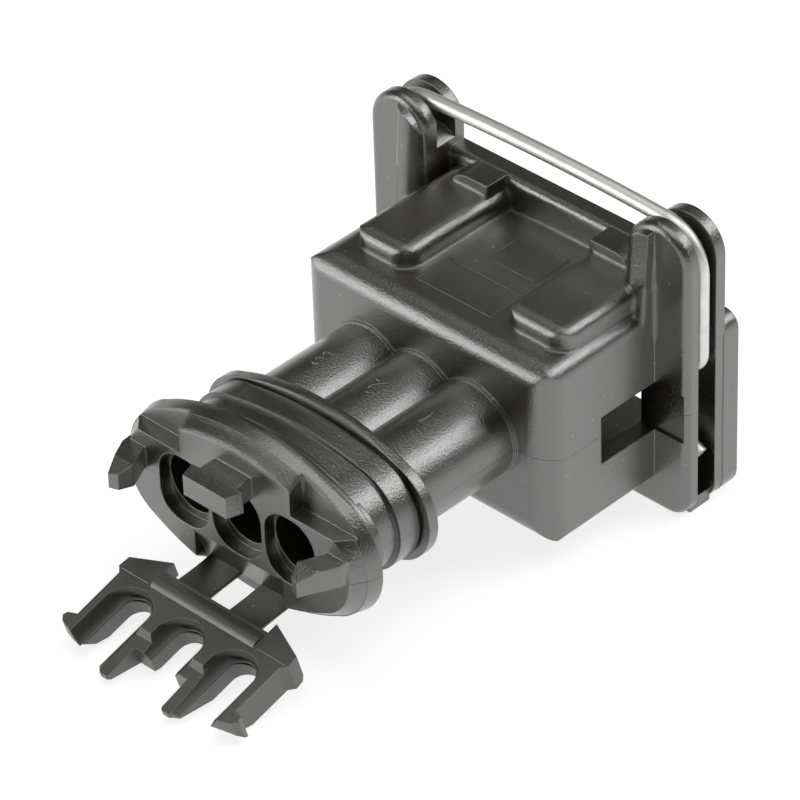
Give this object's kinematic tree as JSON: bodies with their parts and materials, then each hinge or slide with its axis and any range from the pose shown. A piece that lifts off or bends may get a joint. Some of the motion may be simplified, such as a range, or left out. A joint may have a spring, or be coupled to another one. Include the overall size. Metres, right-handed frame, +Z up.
{
  "type": "sealed rectangular electrical connector",
  "caption": "Sealed automotive-style socket housing with lobed wire entry, sprung wire locking clip and a hinged rear retainer comb, empty of contacts.",
  "frame": {"origin": "on the axis of the middle wire bore, at the rear face of the rectangular box", "axes": "+X along the contact row, +Y the mating direction out of the shroud, +Z up towards the wire clip's top bar"},
  "size_m": [0.0297, 0.0445, 0.0238],
  "materials": {
    "housing_plastic": "black moulded glass-filled plastic, satin",
    "seal_rubber": "dark silicone, matt",
    "spring_wire": "bright drawn spring wire"
  },
  "bodies": {
    "housing": {"housing": "housing_plastic", "interface_seal": "seal_rubber", "hinge_strap_left": "housing_plastic", "hinge_strap_right": "housing_plastic"},
    "wire_clip": {"wire_clip": "spring_wire"},
    "rear_retainer": {"rear_retainer": "housing_plastic"}
  },
  "joints": [
    {"name": "retainer_hinge", "type": "hinge", "parent": "housing", "child": "rear_retainer", "pos_m": [0, -0.01867, -0.00564], "axis": [-1, 0, 0], "range_deg": [0, 100], "deforming": ["hinge_strap_left", "hinge_strap_right"]},
    {"name": "clip_press", "type": "slide", "parent": "housing", "child": "wire_clip", "axis": [0, 0, -1], "range_m": [0, 0.0015], "stiffness_N_per_m": 1500}
  ]
}
